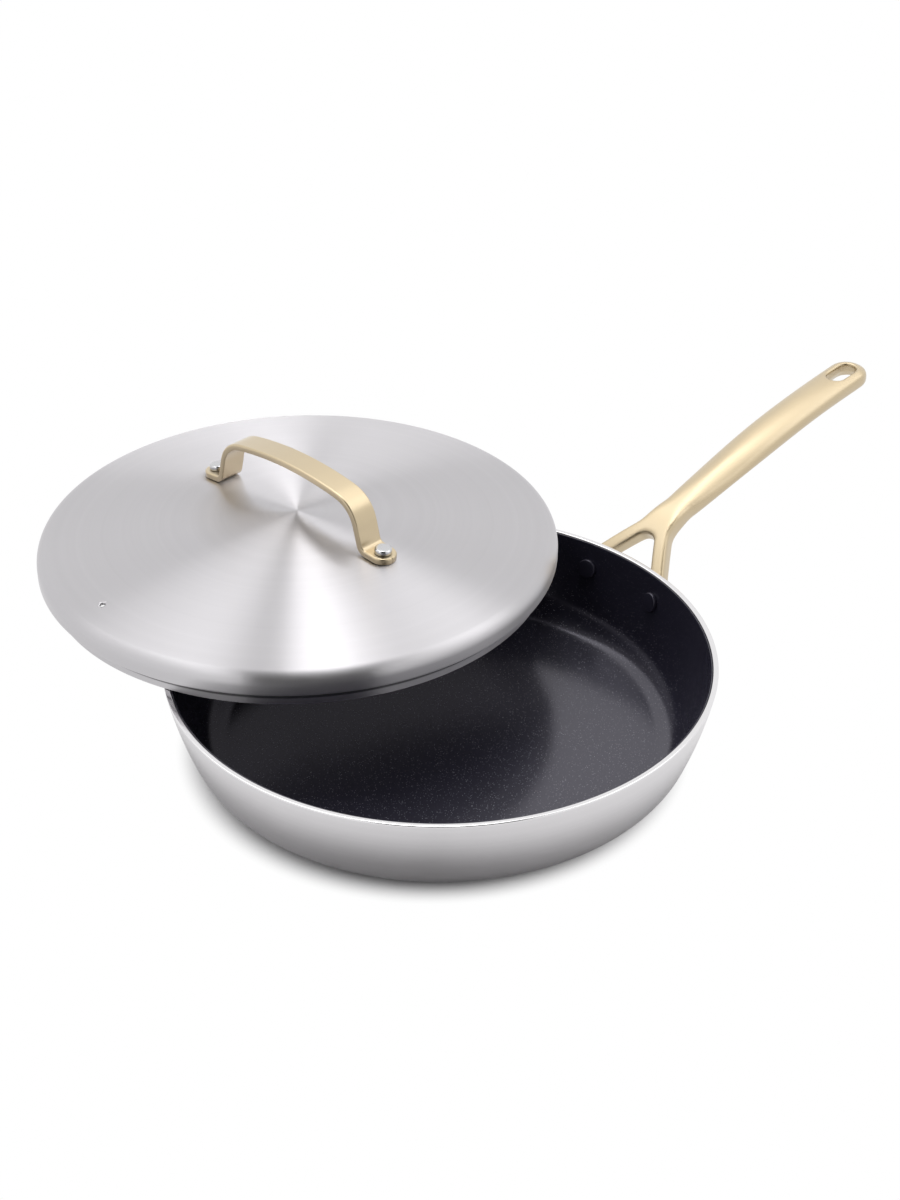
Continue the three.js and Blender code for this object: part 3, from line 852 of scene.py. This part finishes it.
# Stations along the handle's middle: run and lift from the one before, width, thickness and
# squareness of the section. The first is counted from the rim, and the last is the middle of
# the round end.
HANDLE_STATIONS = (
    (0.0275, 0.0125, 0.0142, 0.011, 4.4),
    (0.0155, 0.0055, 0.0195, 0.0118, 2.9),
    (0.067, 0.0195, 0.0264, 0.0135, 2.1),
    (0.05, 0.0115, 0.0262, 0.0138, 2.2),
    (0.036, 0.006, 0.0252, 0.0124, 2.9),
)


def smooth_curve(stations, heights, places):
    """A natural cubic curve through stations, straight past its ends."""
    steps = np.diff(stations)
    count = len(stations)
    system = np.eye(count)
    right = np.zeros(count)
    rates = np.diff(heights) / steps
    for k in range(1, count - 1):
        system[k, k - 1 : k + 2] = steps[k - 1], 2 * (steps[k - 1] + steps[k]), steps[k]
        right[k] = 6 * (rates[k] - rates[k - 1])
    curving = np.linalg.solve(system, right)
    held = np.clip(places, stations[0], stations[-1])
    k = np.clip(np.searchsorted(stations, held) - 1, 0, count - 2)
    after, before = stations[k + 1] - held, held - stations[k]
    value = (curving[k] * after**3 + curving[k + 1] * before**3) / (6 * steps[k])
    value += (heights[k] / steps[k] - curving[k] * steps[k] / 6) * after
    value += (heights[k + 1] / steps[k] - curving[k + 1] * steps[k] / 6) * before
    first = rates[0] - steps[0] * curving[1] / 6
    last = rates[-1] + steps[-1] * curving[-2] / 6
    value += np.minimum(places - stations[0], 0) * first
    return value + np.maximum(places - stations[-1], 0) * last


def softly(first, second, reach):
    """The larger of two fields, eased over a reach."""
    even = np.clip(0.5 + 0.5 * (first - second) / reach, 0, 1)
    return second + (first - second) * even + reach * even * (1 - even)


def softly_joined(first, second, reach):
    """Two fields joined with a soft hollow between them."""
    return -softly(-first, -second, reach)


class HandleForm:
    """The forked handle as a distance field: a bent plate with a grip and two legs in its plan,
    round feet on the wall, and its holes taken out."""

    samples = 1600  # points along the middle line
    run_on = 0.03  # the middle line goes on this far past both ends
    legs_meet = 0.45  # the legs meet this part of their width past the fork
    fade_before = 0.012  # the legs' section turns to the grip's from this far before the fork
    fade_run = 0.018  # length of that turn
    foot_edge = 0.0016  # rounding of a foot
    foot_blend = 0.005  # softness between a leg and its foot
    seat_edge = 0.0002  # rounding in the seat of a rivet's head
    seat_blend = 0.0012  # softness of the seat's edge
    seat_reach = 0.02  # the seat is kept free this far out
    wall_blend = 0.0008  # softness of the edge along the wall

    def __init__(self):
        pan, handle = settings().pan, settings().handle
        self.pan, self.sizes = pan, handle
        self.wall = Wall(pan)
        place = rivet_place(1)
        self.rivet = np.array(place.translation)
        self.out = np.array(place.to_3x3() @ UP)
        foot = place @ Vector((-handle.foot_lift, 0, 0))
        runs = np.array(HANDLE_STATIONS)
        stations = pan.rim_radius + np.cumsum(runs[:, 0])
        lifts = pan.height + np.cumsum(runs[:, 1])
        # The middle line runs on from the fork to the feet
        whole, heights = np.append(foot.x, stations), np.append(foot.z, lifts)
        self.x = np.linspace(foot.x - self.run_on, stations[-1] + self.run_on, self.samples)
        self.z = smooth_curve(whole, heights, self.x)
        self.slope = np.gradient(self.z, self.x)
        stride = np.hypot(np.diff(self.x), np.diff(self.z))
        self.along = np.append(0, np.cumsum(stride))
        inner = np.clip(self.x, stations[0], stations[-1])
        self.half_width = smooth_curve(stations, runs[:, 2], inner) / 2
        self.power = smooth_curve(stations, runs[:, 4], inner)
        thick = np.append(handle.leg_thick, runs[:, 3])
        self.half_thick = smooth_curve(whole, thick, np.clip(self.x, foot.x, stations[-1])) / 2
        self.fork = np.interp(stations[0], self.x, self.along)
        self.tip = np.interp(stations[-1], self.x, self.along)
        self.low = np.array([np.interp(foot.x, self.x, self.along), foot.y])

    def oval(self, across, up, half_width, half_thick, power):
        """Distance from a rounded-square section."""
        a, b = np.abs(across) / half_width, np.abs(up) / half_thick
        size = np.maximum((a**power + b**power) ** (1 / power), 1e-6)
        side = (a / size) ** (power - 1) / half_width
        rise = (b / size) ** (power - 1) / half_thick
        return (size - 1) / np.sqrt(side**2 + rise**2)

    def leg_plan(self, along, side):
        """Distance from the middle of the leg on one side, in plan."""
        meet = self.fork + self.sizes.leg_width * self.legs_meet
        run = np.array([meet - self.low[0], -self.low[1]])
        part = ((along - self.low[0]) * run[0] + (side - self.low[1]) * run[1]) / (run @ run)
        part = np.clip(part, 0, 1)
        return np.hypot(along - self.low[0] - part * run[0], side - self.low[1] - part * run[1])

    def plate(self, p):
        """Distance from the grip and the legs."""
        x, y, z = p.T
        handle = self.sizes
        slope = np.interp(x, self.x, self.slope)
        foot = x + (z - np.interp(x, self.x, self.z)) * slope / (1 + slope**2)
        slope = np.interp(foot, self.x, self.slope)
        up = (z - np.interp(foot, self.x, self.z)) - (x - foot) * slope
        up = up / np.sqrt(1 + slope**2)
        along = np.interp(foot, self.x, self.along)
        half_width = np.interp(foot, self.x, self.half_width)
        half_thick = np.interp(foot, self.x, self.half_thick)
        past = np.maximum(along - self.tip, 0)
        short = np.maximum(self.fork - along, 0)
        grip = np.sqrt(y**2 + past**2 + short**2) - half_width
        half_leg = handle.leg_width / 2
        left, right = (self.leg_plan(along, side) - half_leg for side in (y, -y))
        legs = softly_joined(left, right, handle.fork_blend)
        plan = softly_joined(grip, legs, handle.fork_blend)
        share_of_grip = np.clip((along - self.fork + self.fade_before) / self.fade_run, 0, 1)
        share_of_grip = share_of_grip**2 * (3 - 2 * share_of_grip)
        half = half_leg + (half_width - half_leg) * share_of_grip
        round_end = 1 - np.sqrt(np.maximum(1 - (past / half_width) ** 2, 0))
        half_thick = half_thick * (1 - handle.tip_thinning * round_end)
        power = np.interp(foot, self.x, self.power)
        body = self.oval(np.maximum(half + plan, 0), up, half, half_thick, power)
        back = handle.hang_length - handle.hang_width
        past = np.maximum(np.maximum(along - self.tip, self.tip - back - along), 0)
        slot = np.hypot(past, y) - handle.hang_width / 2 - handle.hang_flare * np.maximum(-up, 0)
        return softly(body, -slot, handle.edge_blend)

    def disc(self, p, radius, low, high, edge):
        """Distance from a round-edged disc on the +Y rivet's line."""
        d = p - self.rivet
        along = d @ self.out
        flat = np.sqrt(np.maximum((d**2).sum(1) - along**2, 0)) - (radius - edge)
        deep = np.abs(along - (low + high) / 2) - ((high - low) / 2 - edge)
        outside = np.sqrt(np.maximum(flat, 0) ** 2 + np.maximum(deep, 0) ** 2)
        return outside + np.minimum(np.maximum(flat, deep), 0) - edge

    def __call__(self, p):
        """Distance from the whole handle."""
        pan, handle = self.pan, self.sizes
        half = p.copy()
        half[:, 1] = np.abs(half[:, 1])
        floor = pan.gap + handle.foot_thick
        foot = self.disc(half, handle.foot_radius, -pan.wall, floor, self.foot_edge)
        field = softly_joined(self.plate(p), foot, self.foot_blend)
        top = floor + self.seat_reach
        seat = self.disc(half, handle.tail + pan.gap, floor, top, self.seat_edge)
        field = softly(field, -seat, self.seat_blend)
        radius = np.hypot(p[:, 0], p[:, 1])
        clear = np.hypot(radius - self.wall.centre.x, p[:, 2] - self.wall.centre.y)
        return softly(field, -(clear - self.wall.arc - pan.gap), self.wall_blend)


class PAN_OT_handle(bpy.types.Operator):
    """Cast handle with a forked end, round feet on the wall and a hanging hole"""

    bl_idname = "frying_pan.handle"
    bl_label = "Pan Handle"

    step = 0.0011  # cells that the skin is drawn from
    spare = 0.004  # room left round the node's box for those cells
    shading_reach = 0.0004  # distance over which the shading is read

    def execute(self, context):
        low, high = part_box("pan_handle")
        spare = Vector((self.spare, self.spare, self.spare))
        form = HandleForm()
        shape = skin_of(form, low - spare, high + spare, self.step)
        piece = add_piece("forked_handle", "pan_handle", shape, ["Champagne handle"])
        out = slope_of(form, np.array(shape[0]), self.shading_reach)
        out /= np.linalg.norm(out, axis=1)[:, None]
        piece.data.normals_split_custom_set_from_vertices(out.tolist())
        return {"FINISHED"}


class PAN_OT_handle_rivets(bpy.types.Operator):
    """Rivets through the wall: a coated head inside, a formed head on the handle's foot"""

    bl_idname = "frying_pan.handle_rivets"
    bl_label = "Handle Rivets"

    head_flat = 0.5  # part of the inside head's radius that is flat
    head_side = 0.92  # part of its rise that the side takes up
    head_draft = 0.0002  # that side leans in by this
    tail_flat = 0.4  # the same three for the formed head
    tail_side = 0.75
    tail_draft = 0.0004
    face_soft = 0.001  # softness where the inside head's face ends
    brow_soft = 0.0006  # softness of that head's upper edge
    tail_soft = 0.0008  # softness of the formed head's upper edges
    seat_soft = 0.0002  # softness of the edges that lie on the pan and the handle

    def execute(self, context):
        pan, handle = settings().pan, settings().handle
        radius = Wall(pan).point(pan.height - handle.rivet_drop)[0]
        hollow = radius - math.sqrt(radius**2 - handle.head**2)
        inside = -(pan.wall + pan.gap + pan.coating + pan.gap + hollow)
        outside = pan.gap + handle.foot_thick + pan.gap
        head, tail = inside - handle.head_rise, outside + handle.tail_rise
        brow = inside - handle.head_rise * self.head_side
        tail_brow = outside + handle.tail_rise * self.tail_side
        section = [
            (0, head),
            (handle.head * self.head_flat, head, self.face_soft),
            (handle.head - self.head_draft, brow, self.brow_soft),
            (handle.head, inside, self.seat_soft),
            (handle.shank, inside),
            (handle.shank, outside),
            (handle.tail, outside, self.seat_soft),
            (handle.tail - self.tail_draft, tail_brow, self.tail_soft),
            (handle.tail * self.tail_flat, tail, self.tail_soft),
            (0, tail),
        ]
        shape = turned(eased(section), SMALL_SIDES)
        names = ["Coated rivet head", "Polished rivet"]
        for node, side in (("handle_rivet_left", 1), ("handle_rivet_right", -1)):
            piece = add_piece(f"{node}_turned", node, shape, names, rivet_place(side))
            finish_faces(piece, 1, lambda middle: middle.z > -pan.wall / 2)
        return {"FINISHED"}


class PAN_OT_lid(bpy.types.Operator):
    """Spun lid with a low dome, a rounded band, a narrow skirt and a steam hole"""

    bl_idname = "frying_pan.lid"
    bl_label = "Lid"

    lip_soft = 0.0012  # softness of the band's lower edge
    step_soft = 0.0006  # softness between the band and the skirt
    hem_soft = 0.0004  # softness of the skirt's two lower edges
    shelf_soft = 0.0008  # softness of the edge inside, above the skirt
    hollow_soft = 0.0005  # softness of the corner inside the band
    drill_sheets = 3  # the vent's drill goes this many sheets up and down

    def execute(self, context):
        lid = settings().lid
        form = LidForm()
        thin = form.skirt - lid.sheet
        shelf = lid.skirt_height + lid.sheet
        section = form.over(0) + [
            (form.radius, lid.skirt_height, self.lip_soft),
            (form.skirt, lid.skirt_height, self.step_soft),
            (form.skirt, 0, self.hem_soft),
            (thin, 0, self.hem_soft),
            (thin, shelf, self.shelf_soft),
            (form.radius - lid.sheet, shelf, self.hollow_soft),
        ]
        section += form.over(lid.sheet)[::-1]
        shape = turned(eased(section), FINE_SIDES)
        at = Matrix.Translation(form.place.translation)
        piece = add_piece("lid_cover", "lid_shell", shape, ["Spun lid steel", "Lid inside painted shade"], at)
        # The faces on the food side get the darker copy of the lid steel: painted shade
        finish_faces(piece, 1, form.is_inside)
        reach = form.radius - lid.vent_inset
        vent = Matrix.Rotation(lid.turned - lid.vent_turn, 3, "Z")
        centre = vent @ Vector((-reach, 0, form.height(reach)))
        bored(piece, centre, lid.vent_radius, lid.sheet * self.drill_sheets)
        return {"FINISHED"}


ARCH_POINTS = 26  # along half of the strap's top
BEND_STEPS = 18  # round an upper bend
FOOT_BEND_STEPS = 12  # round a lower bend
FLAT_POINTS = 5  # along the flat of a foot
FLAT_START = 0.005  # that flat starts this far past the corner


def strap_line(form):
    """The strap's middle line in Y and Z over the lid, from one foot's rivet to the other's."""
    strap, gap = settings().strap, settings().pan.gap
    middle = form.top + strap.finger_gap + strap.thick / 2

    def arch(reach):
        return Vector((reach, middle - strap.crown * (reach / strap.bend_reach) ** 2))

    def foot(reach):
        lift = (gap + strap.thick / 2) / math.cos(form.lean)
        drop = (reach - form.rivet_reach) * math.tan(form.lean)
        return Vector((reach, form.rivet_height + lift - drop))

    top_end = strap.bend_reach - strap.bend_round
    top = [arch(reach) for reach in np.linspace(0, top_end, ARCH_POINTS)]
    upper, lower = arch(strap.bend_reach), foot(strap.leg_reach)
    half = top[:-1]
    half += bend(top[-1], upper, lower, strap.bend_round, BEND_STEPS)
    half += bend(upper, lower, foot(form.rivet_reach), strap.leg_round, FOOT_BEND_STEPS)
    flat = strap.leg_reach + FLAT_START
    half += [foot(reach) for reach in np.linspace(flat, form.rivet_reach, FLAT_POINTS)]
    return [Vector((-p.x, p.y)) for p in half[:0:-1]] + half


class PAN_OT_strap(bpy.types.Operator):
    """Bent strap over the lid, with softened edges and round-ended feet"""

    bl_idname = "frying_pan.strap"
    bl_label = "Strap Handle"

    corner_points = 6  # round each edge of the section
    flat_parts = (0.2, 0.6, 0.985)  # parts of the half width where its flats have points
    end_turns = (88, *range(80, 0, -10))  # degrees round a foot's end, from its tip in

    def execute(self, context):
        strap = settings().strap
        form = LidForm()
        half, thick = strap.width / 2, strap.thick / 2
        # Points round the section: share of the width, distance in from the side, height
        corner = np.linspace(0, math.pi / 2, self.corner_points)
        high = [
            (1, strap.top_edge * (1 - math.cos(a)), thick - strap.top_edge * (1 - math.sin(a)))
            for a in corner
        ]
        low = [
            (1, strap.low_edge * (1 - math.sin(a)), -thick + strap.low_edge * (1 - math.cos(a)))
            for a in corner
        ]
        top = [(w, strap.top_edge, thick) for w in self.flat_parts[::-1]]
        under = [(w, strap.low_edge, -thick) for w in self.flat_parts]
        right = under + low + high + top
        around = right + [(-w, inset, height) for w, inset, height in right[::-1]]

        def ring(at, along, end_turn):
            lift = Vector((-along.y, along.x))
            points = []
            for width, inset, height in around:
                reach = half - inset
                past = reach * math.sin(end_turn)
                middle = at + lift * height + along * past
                points.append((width * reach * math.cos(end_turn), middle.x, middle.y))
            return points

        line = strap_line(form)
        ends = np.radians(self.end_turns)
        rings = []
        for k, at in enumerate(line):
            along = (line[min(k + 1, len(line) - 1)] - line[max(k - 1, 0)]).normalized()
            if k == 0:
                rings += [ring(at, along, -a) for a in ends]
            rings.append(ring(at, along, 0))
            if k == len(line) - 1:
                rings += [ring(at, along, a) for a in ends[::-1]]
        shape = lofted(rings)
        add_piece("strap_handle", "lid_handle", shape, ["Champagne strap"], form.place)
        return {"FINISHED"}


class PAN_OT_strap_rivets(bpy.types.Operator):
    """Button rivets through the strap's feet, with flat heads under the lid"""

    bl_idname = "frying_pan.strap_rivets"
    bl_label = "Strap Rivets"

    head_soft = 0.0003  # softness of the flat head's lower edge
    seat_soft = 0.0002  # softness of the edges that lie on the lid and the strap
    chamfer_soft = 0.0003  # softness of the chamfer's two edges
    face_soft = 0.0006  # softness where the button's face ends
    face_flat = 0.6  # part of that face that is flat
    face_drop = 0.0001  # the rest of it drops by this

    def execute(self, context):
        pan, lid, strap = settings().pan, settings().lid, settings().strap
        form = LidForm()
        inside = -(lid.sheet + pan.gap)
        outside = pan.gap + strap.thick + pan.gap
        top = outside + strap.button_rise
        rim = strap.button - strap.button_chamfer
        low = inside - strap.inner_rise
        section = [
            (0, low),
            (strap.inner_head, low, self.head_soft),
            (strap.inner_head, inside, self.seat_soft),
            (strap.shank, inside),
            (strap.shank, outside),
            (strap.button, outside, self.seat_soft),
            (strap.button, top - strap.button_chamfer, self.chamfer_soft),
            (rim, top - self.face_drop, self.chamfer_soft),
            (rim * self.face_flat, top, self.face_soft),
            (0, top),
        ]
        shape = turned(eased(section), SMALL_SIDES)
        for node, side in (("lid_rivet_back", 1), ("lid_rivet_front", -1)):
            add_piece(f"{node}_button", node, shape, ["Polished rivet"], form.rivet(side))
        return {"FINISHED"}


# Stage


def facing():
    """The turn from the picture's right and back to the pan's own axes."""
    return Matrix.Rotation(-settings().stage.handle_turn, 4, "Z")


# Name, place, aim, width and length, and watts of each lamp
LAMPS = (
    ("sky_panel", (0, 0.12, 1.6), (0, 0.1, 0), (2.2, 2.2), 12),
    ("strip", (-0.03, 0.56, 1.5), (-0.03, 0.1, 0), (0.3, 0.84), 2.9),
    ("left_box", (-1.0, 0.45, 1.4), (0.0, 0.1, 0), (0.4, 0.9), 0.9),
    ("right_box", (1.25, 0.3, 1.35), (0.3, 0.2, 0.1), (0.8, 0.8), 2.2),
)
FLOOR_REACH = 6.0
CARD_SIDES = (-0.52, 0.75)
CARD_FOLD = ((0, 0), (0, 1.3), (1.3, 1.42))  # back and up, from its foot to its far edge
CARD_FOOT = (0, -1.2, 0.02)  # by the picture's right, back and up
PLAIN_ROUGHNESS = 0.9  # of the floor and the card
SENSOR_HEIGHT = 36  # millimetres


def add_lamp(name, place, aim, size, watts):
    """A soft flat lamp, placed by the picture's right, back and up."""
    data = bpy.data.lights.new(name, "AREA")
    data.shape = "RECTANGLE"
    data.size, data.size_y = size
    data.energy = watts
    lamp = in_scene(name, data)
    lamp.location = facing() @ Vector(place)
    aim = facing() @ Vector(aim) - lamp.location
    lamp.rotation_euler = aim.to_track_quat("-Z", "Y").to_euler()


def add_sheet(name, corners, faces, finish):
    """A sheet of the stage, such as the floor."""
    mesh = new_mesh(name, corners, faces)
    mesh.materials.append(bpy.data.materials[finish])
    sheet = in_scene(name, mesh)
    return sheet


def ray_kinds(nodes):
    """1 for rays from the camera, and 1 for rays that a shiny or clear surface sends on."""
    path = nodes.add("ShaderNodeLightPath").outputs
    sent_on = nodes.math("MAXIMUM", path["Is Glossy Ray"], path["Is Transmission Ray"])
    return path["Is Camera Ray"], sent_on


class PAN_OT_stage(bpy.types.Operator):
    """Pale floor, white room, soft lamps, a dark card and the camera"""

    bl_idname = "frying_pan.stage"
    bl_label = "Stage"

    def execute(self, context):
        scene, stage = context.scene, settings().stage
        scene.view_settings.view_transform = "Standard"
        self.add_floor(stage)
        self.light_room(scene, stage)
        for lamp in LAMPS:
            add_lamp(*lamp)
        self.add_card()
        self.add_camera(scene, stage)
        return {"FINISHED"}

    def add_floor(self, stage):
        """A plain floor, which turns to the room's white further out."""
        nodes, shader = new_finish("Pale floor")
        values = {
            "Base Color": scaled(stage.floor_colour),
            "Roughness": PLAIN_ROUGHNESS,
            "Specular IOR Level": 0.0,
        }
        nodes.fill(shader, values)
        right = facing() @ Vector((1, 0, 0))
        place = nodes.vector("ADD", nodes.place(), right * stage.shade_aside)[0]
        out = nodes.vector("LENGTH", place)["Value"]
        # In the metal the floor clears sooner at the sides
        sideways = nodes.math("ABSOLUTE", nodes.vector("DOT_PRODUCT", place, right)["Value"])
        wide = nodes.math("MULTIPLY_ADD", sideways, stage.side_clear, out)
        seen, mirrored = ray_kinds(nodes)
        seen_white = nodes.ramp(out, (stage.floor_near, stage.floor_far), (0, 1))
        mirrored_white = nodes.ramp(wide, (stage.mirror_near, stage.mirror_far), (0, 1))
        white = nodes.math(
            "MAXIMUM",
            nodes.math("MULTIPLY", seen, seen_white),
            nodes.math("MULTIPLY", mirrored, mirrored_white),
        )
        glow = nodes.add("ShaderNodeEmission").outputs[0]
        mixed = nodes.add("ShaderNodeMixShader", {0: white, 1: shader.outputs[0], 2: glow})
        nodes.fill(nodes.tree.nodes["Material Output"], {"Surface": mixed.outputs[0]})
        ends = (-FLOOR_REACH, FLOOR_REACH)
        corners = [(x, y, 0) for x in ends for y in ends]
        add_sheet("floor", corners, [(0, 2, 3, 1)], "Pale floor")

    def add_card(self):
        """A dark card behind the camera, for the metal to mirror."""
        nodes, shader = new_finish("Dark card")
        nodes.fill(shader, {"Base Color": (0.05, 0.05, 0.05, 1), "Roughness": PLAIN_ROUGHNESS})
        corners = [(side, back, up) for back, up in CARD_FOLD for side in CARD_SIDES]
        card = add_sheet("card", corners, [(0, 1, 3, 2), (2, 3, 5, 4)], "Dark card")
        card.matrix_world = facing() @ Matrix.Translation(CARD_FOOT)
        card.visible_camera = False

    def light_room(self, scene, stage):
        """An even light, and plain white where the room itself is seen."""
        scene.world = bpy.data.worlds.new("White room")
        scene.world.use_nodes = True
        nodes = Nodes(scene.world.node_tree)
        seen = nodes.math("MAXIMUM", *ray_kinds(nodes))
        strength = nodes.between(seen, stage.room_light, 1.0)
        room = nodes.tree.nodes["Background"]
        nodes.fill(room, {"Color": (1, 1, 1, 1), "Strength": strength})

    def add_camera(self, scene, stage):
        """The camera, aimed as the pan was photographed."""
        data = bpy.data.cameras.new("camera")
        data.sensor_fit = "VERTICAL"
        data.sensor_height = SENSOR_HEIGHT
        data.lens = stage.focal
        camera = in_scene("camera", data)
        rise = stage.elevation
        middle = Vector((0, 0, settings().pan.height))
        away = Vector((0, -math.cos(rise), math.sin(rise))) * stage.distance
        camera.location = facing() @ (middle + away)
        dip = stage.tilt_up - rise
        aim = Vector(
            (
                math.sin(stage.pan_right) * math.cos(dip),
                math.cos(stage.pan_right) * math.cos(dip),
                math.sin(dip),
            )
        )
        camera.rotation_euler = (facing() @ aim).to_track_quat("-Z", "Y").to_euler()
        scene.camera = camera


OPERATORS = (
    PAN_OT_body,
    PAN_OT_lining,
    PAN_OT_base_plate,
    PAN_OT_handle,
    PAN_OT_handle_rivets,
    PAN_OT_lid,
    PAN_OT_strap,
    PAN_OT_strap_rivets,
    PAN_OT_stage,
)


class PAN_PT_panel(bpy.types.Panel):
    """Lists the pieces and their sizes"""

    bl_idname = "PAN_PT_panel"
    bl_label = "Frying Pan"
    bl_space_type = "VIEW_3D"
    bl_region_type = "UI"
    bl_category = "Frying Pan"

    def draw(self, context):
        chosen = settings()
        for operator in OPERATORS:
            self.layout.operator(operator.bl_idname)
        for group in ("pan", "handle", "lid", "strap", "finishes", "stage"):
            box = self.layout.box()
            box.label(text=group.capitalize())
            for name in getattr(chosen, group).bl_rna.properties.keys():
                if name not in ("rna_type", "name"):
                    box.prop(getattr(chosen, group), name)


GROUPS = (
    PanSizes,
    HandleSizes,
    LidSizes,
    StrapSizes,
    Finishes,
    StageSettings,
    FryingPanSettings,
)
CLASSES = GROUPS + OPERATORS + (PAN_PT_panel,)


def register():
    """Registers the classes and the scene's settings."""
    for entry in CLASSES:
        bpy.utils.register_class(entry)
    bpy.types.Scene.frying_pan = bpy.props.PointerProperty(type=FryingPanSettings)


def unregister():
    """Takes them away again."""
    del bpy.types.Scene.frying_pan
    for entry in reversed(CLASSES):
        bpy.utils.unregister_class(entry)


def main():
    """Builds every piece and the stage."""
    register()
    for name in (operator.bl_idname.split(".")[1] for operator in OPERATORS):
        getattr(bpy.ops.frying_pan, name)()


if __name__ == "__main__":
    main()
